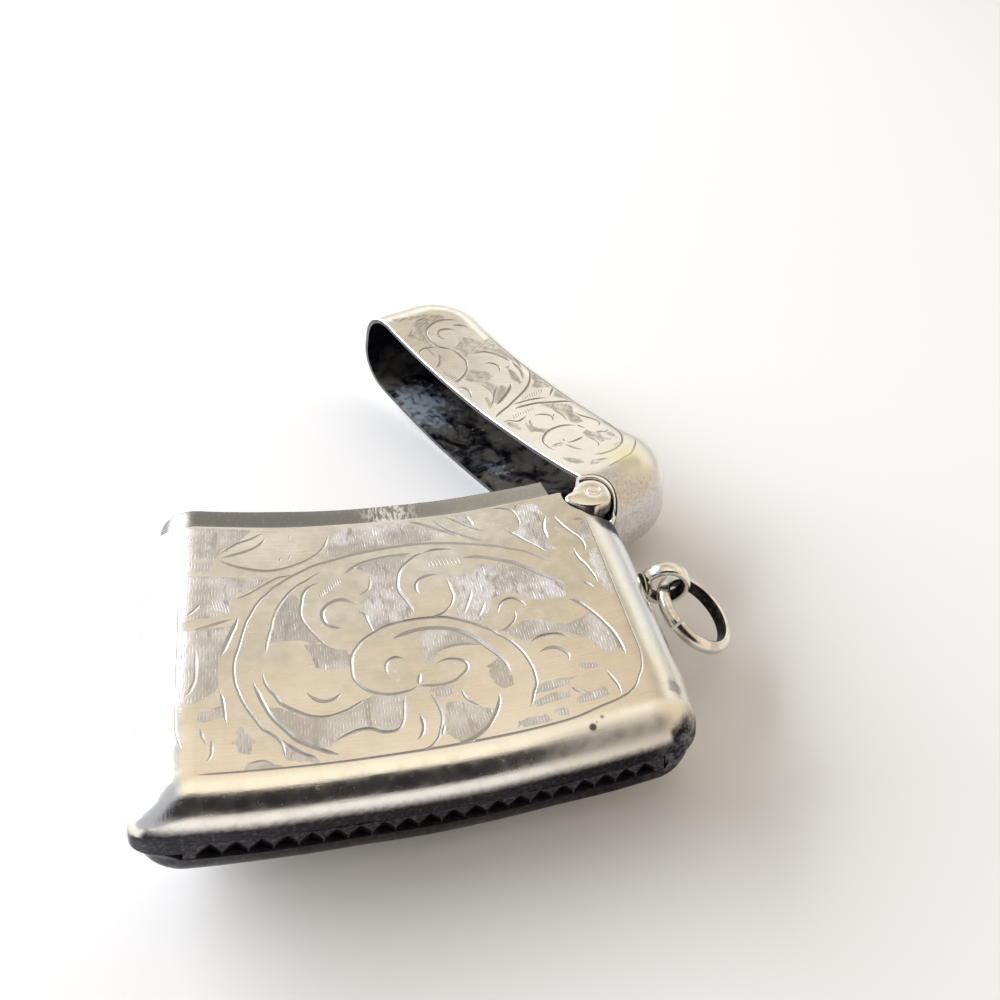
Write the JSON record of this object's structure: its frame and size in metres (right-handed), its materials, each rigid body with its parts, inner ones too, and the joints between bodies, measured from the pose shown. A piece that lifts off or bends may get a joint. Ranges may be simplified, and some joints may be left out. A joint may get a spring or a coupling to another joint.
{
  "type": "vesta case",
  "caption": "Pocket-curved silver match case with scroll-engraved faces, a side-hinged lid over a mouth collar, a serrated striker end, and a split ring in a side eye.",
  "frame": {"origin": "middle of the striker end, on the tip plane of the striker's teeth at mid-thickness", "axes": "+X across the case towards the hinge and ring side, +Y from the striker end towards the lid, +Z out of the hollow (concave) engraved face; the case lies on its back"},
  "size_m": [0.0454, 0.0592, 0.0104],
  "materials": {
    "engraved_silver": "polished silver sheet with bright-cut scroll engraving and light tarnish",
    "plain_silver": "polished silver, worn soft",
    "tarnished_silver": "silver with dark tarnish",
    "striker_silver": "serrated silver, blackened by use"
  },
  "bodies": {
    "case": {"body_front_shell": "engraved_silver", "body_rear_shell": "engraved_silver", "mouth_collar": "plain_silver", "base_plate": "tarnished_silver", "striker_strip": "striker_silver", "hinge_bearer": "tarnished_silver", "hinge_ear_front": "plain_silver", "hinge_ear_rear": "plain_silver", "hinge_pin": "plain_silver", "suspension_eye": "plain_silver"},
    "lid": {"lid_front_shell": "engraved_silver", "lid_rear_shell": "engraved_silver", "lid_hinge_guard": "plain_silver", "lid_knuckle": "tarnished_silver"},
    "ring": {"jump_ring": "plain_silver"}
  },
  "joints": [
    {"name": "lid_hinge", "type": "hinge", "parent": "case", "child": "lid", "pos_m": [0.0167, 0.024, 0], "axis": [0, 0, -1], "range_deg": [-63, 27]},
    {"name": "ring_swing", "type": "hinge", "parent": "case", "child": "ring", "pos_m": [0.02115, 0.01585, 0.0022], "axis": [0.6647, 0.6817, -0.3058], "range_deg": [-75, 24]}
  ]
}
